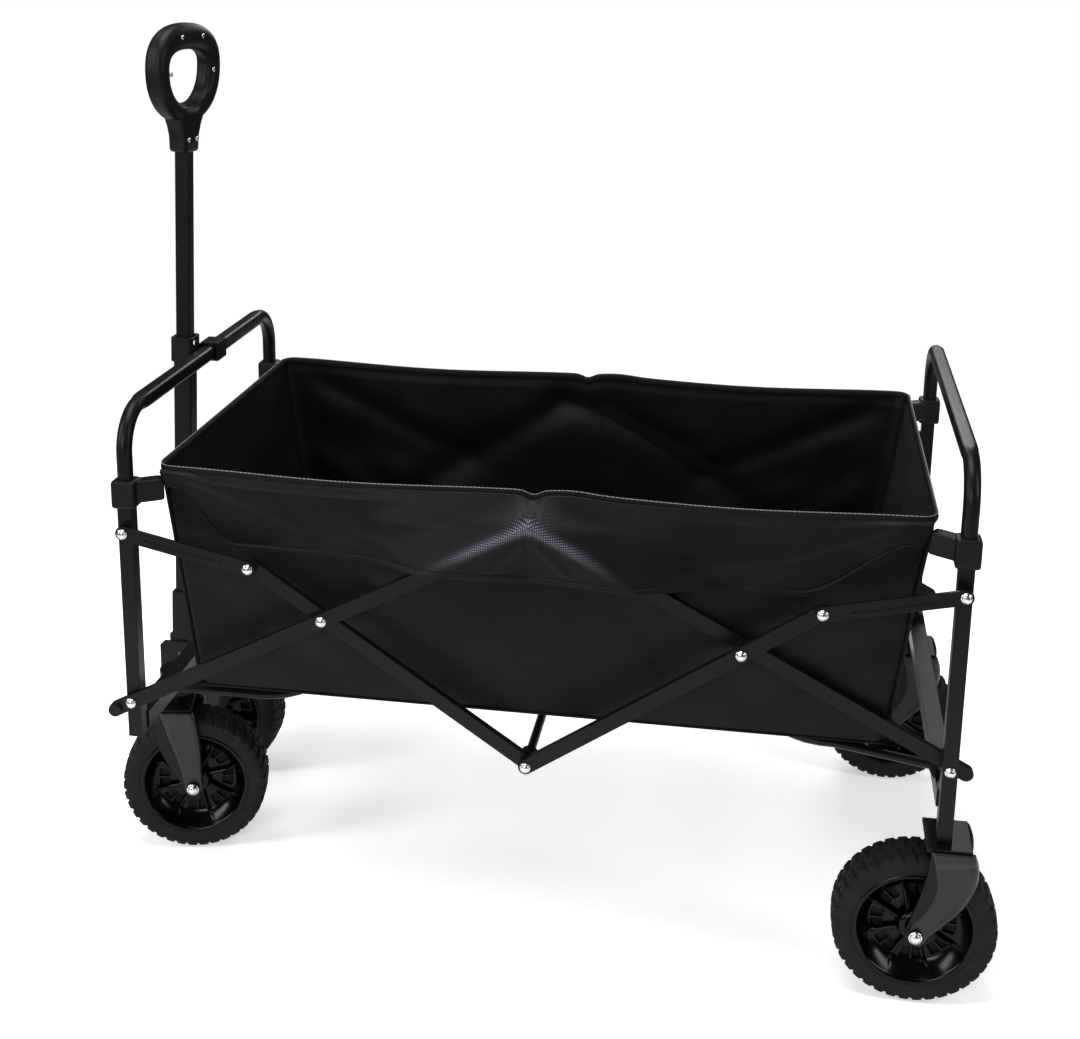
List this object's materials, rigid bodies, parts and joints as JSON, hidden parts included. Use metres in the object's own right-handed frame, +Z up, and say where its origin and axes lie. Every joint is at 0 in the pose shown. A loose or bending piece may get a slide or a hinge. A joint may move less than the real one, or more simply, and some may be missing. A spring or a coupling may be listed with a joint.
{
  "type": "wagon with pull handle",
  "caption": "Folding fabric wagon on scissor side arms, with swivel front casters, large block-tread wheels, push bars and a telescoping pull handle with a ring grip.",
  "frame": {"origin": "centre of the bounding box seen from above, at floor level", "axes": "+X from the pull end towards the rear, +Z up, +Y across the wagon to its far side; the two long sides are at -Y and +Y"},
  "size_m": [1.086, 0.546, 1.0146],
  "materials": {
    "black_steel": "satin black powder coat",
    "black_plastic": "fine moulded texture",
    "bag_fabric": "coated woven polyester, soft sheen",
    "tyre_rubber": "matt moulded rubber",
    "rim_plastic": "glossy black moulding",
    "zinc_hardware": "bright zinc plate"
  },
  "bodies": {
    "front_frame": {"front_upright_near": "black_steel", "front_upright_far": "black_steel", "front_clamp_near": "black_plastic", "front_clamp_far": "black_plastic", "front_cross_tube": "black_steel", "front_bow": "black_steel", "front_hoop": "black_steel", "caster_housing_near": "black_steel", "caster_housing_far": "black_steel", "handle_bracket": "black_steel", "handle_pivot_bolt": "zinc_hardware", "bow_clip": "black_plastic", "bag_front_panel": "bag_fabric", "bag_sides_and_floor": "bag_fabric", "floor_mat_front": "bag_fabric", "front_flap_near": "bag_fabric", "front_flap_far": "bag_fabric"},
    "long_arms_front": {"arm_a_near": "black_steel", "arm_a_far": "black_steel"},
    "short_arms_front": {"arm_b_near": "black_steel", "arm_b_far": "black_steel"},
    "short_arms_rear": {"arm_c_near": "black_steel", "arm_c_far": "black_steel", "centre_cross_tube": "black_steel"},
    "long_arms_rear": {"arm_d_near": "black_steel", "arm_d_far": "black_steel"},
    "front_links": {"front_link_near": "black_steel", "front_link_far": "black_steel"},
    "rear_links": {"rear_link_near": "black_steel", "rear_link_far": "black_steel"},
    "rear_frame": {"rear_upright_near": "black_steel", "rear_upright_far": "black_steel", "rear_clamp_near": "black_plastic", "rear_clamp_far": "black_plastic", "rear_cross_tube": "black_steel", "rear_bow": "black_steel", "rear_hoop": "black_steel", "rear_fork_near": "black_steel", "rear_fork_far": "black_steel", "bag_rear_panel": "bag_fabric", "floor_mat_rear": "bag_fabric", "rear_flap_near": "bag_fabric", "rear_flap_far": "bag_fabric"},
    "caster_fork_near": {"front_fork_near": "black_steel"},
    "caster_fork_far": {"front_fork_far": "black_steel"},
    "front_wheel_near": {"front_tyre_near": "tyre_rubber", "front_rim_near": "rim_plastic"},
    "front_wheel_far": {"front_tyre_far": "tyre_rubber", "front_rim_far": "rim_plastic"},
    "rear_wheel_near": {"rear_tyre_near": "tyre_rubber", "rear_rim_near": "rim_plastic"},
    "rear_wheel_far": {"rear_tyre_far": "tyre_rubber", "rear_rim_far": "rim_plastic"},
    "handle_lower": {"handle_foot": "black_plastic", "handle_outer_tube": "black_steel", "handle_collar": "black_plastic"},
    "handle_upper": {"handle_inner_tube": "black_steel", "handle_grip": "black_plastic"},
    "handle_button": {"handle_button": "zinc_hardware"}
  },
  "joints": [
    {"name": "fold", "type": "hinge", "parent": "front_frame", "child": "long_arms_front", "pos_m": [-0.422, 0, 0.278], "axis": [0, -1, 0], "range_deg": [0, 52], "deforming": ["bag_sides_and_floor", "floor_mat_front", "floor_mat_rear", "front_flap_near", "front_flap_far", "rear_flap_near", "rear_flap_far"]},
    {"name": "cross_pivot_front", "type": "hinge", "parent": "long_arms_front", "child": "short_arms_front", "pos_m": [-0.19909, 0, 0.39553], "axis": [0, -1, 0], "range_deg": [-100.51, 0]},
    {"name": "peak_pivot", "type": "hinge", "parent": "long_arms_front", "child": "long_arms_rear", "pos_m": [0.028, 0, 0.51526], "axis": [0, -1, 0], "range_deg": [-106.08, 0]},
    {"name": "cross_pivot_rear", "type": "hinge", "parent": "long_arms_rear", "child": "short_arms_rear", "pos_m": [0.25509, 0, 0.39553], "axis": [0, -1, 0], "range_deg": [0, 100.51]},
    {"name": "rear_frame_pivot", "type": "hinge", "parent": "long_arms_rear", "child": "rear_frame", "pos_m": [0.478, 0, 0.278], "axis": [0, -1, 0], "range_deg": [0, 53.04]},
    {"name": "front_link_pivot", "type": "hinge", "parent": "front_frame", "child": "front_links", "pos_m": [-0.422, 0, 0.4806], "axis": [0, -1, 0], "range_deg": [0, 92.66]},
    {"name": "rear_link_pivot", "type": "hinge", "parent": "rear_frame", "child": "rear_links", "pos_m": [0.478, 0, 0.4806], "axis": [0, -1, 0], "range_deg": [-92.66, 0]},
    {"name": "caster_swivel_near", "type": "hinge", "parent": "front_frame", "child": "caster_fork_near", "pos_m": [-0.436, -0.091, 0.2], "axis": [0, 0, 1], "continuous": true},
    {"name": "front_wheel_spin_near", "type": "hinge", "parent": "caster_fork_near", "child": "front_wheel_near", "pos_m": [-0.41844, -0.08704, 0.089], "axis": [-0.2198, 0.9755, 0], "continuous": true},
    {"name": "rear_wheel_spin_near", "type": "hinge", "parent": "rear_frame", "child": "rear_wheel_near", "pos_m": [0.454, -0.236, 0.089], "axis": [0, 1, 0], "continuous": true},
    {"name": "caster_swivel_far", "type": "hinge", "parent": "front_frame", "child": "caster_fork_far", "pos_m": [-0.436, 0.091, 0.2], "axis": [0, 0, -1], "continuous": true},
    {"name": "front_wheel_spin_far", "type": "hinge", "parent": "caster_fork_far", "child": "front_wheel_far", "pos_m": [-0.454, 0.091, 0.089], "axis": [0, -1, 0], "continuous": true},
    {"name": "rear_wheel_spin_far", "type": "hinge", "parent": "rear_frame", "child": "rear_wheel_far", "pos_m": [0.454, 0.236, 0.089], "axis": [0, 1, 0], "continuous": true},
    {"name": "handle_pitch", "type": "hinge", "parent": "front_frame", "child": "handle_lower", "pos_m": [-0.46, 0, 0.213], "axis": [0, -1, 0], "range_deg": [0, 95]},
    {"name": "handle_telescope", "type": "slide", "parent": "handle_lower", "child": "handle_upper", "axis": [0.0349, 0, 0.9994], "range_m": [-0.225, 0]},
    {"name": "handle_button_press", "type": "slide", "parent": "handle_lower", "child": "handle_button", "axis": [-0.9994, 0, 0.0349], "range_m": [0, 0.0015], "stiffness_N_per_m": 400}
  ],
  "couplings": [
    {"joint": "cross_pivot_front", "follows": "fold", "ratio": -1.895},
    {"joint": "peak_pivot", "follows": "fold", "ratio": -2},
    {"joint": "cross_pivot_rear", "follows": "fold", "ratio": 1.895},
    {"joint": "rear_frame_pivot", "follows": "fold", "ratio": 1},
    {"joint": "front_link_pivot", "follows": "fold", "ratio": 1.747},
    {"joint": "rear_link_pivot", "follows": "fold", "ratio": -1.747}
  ]
}
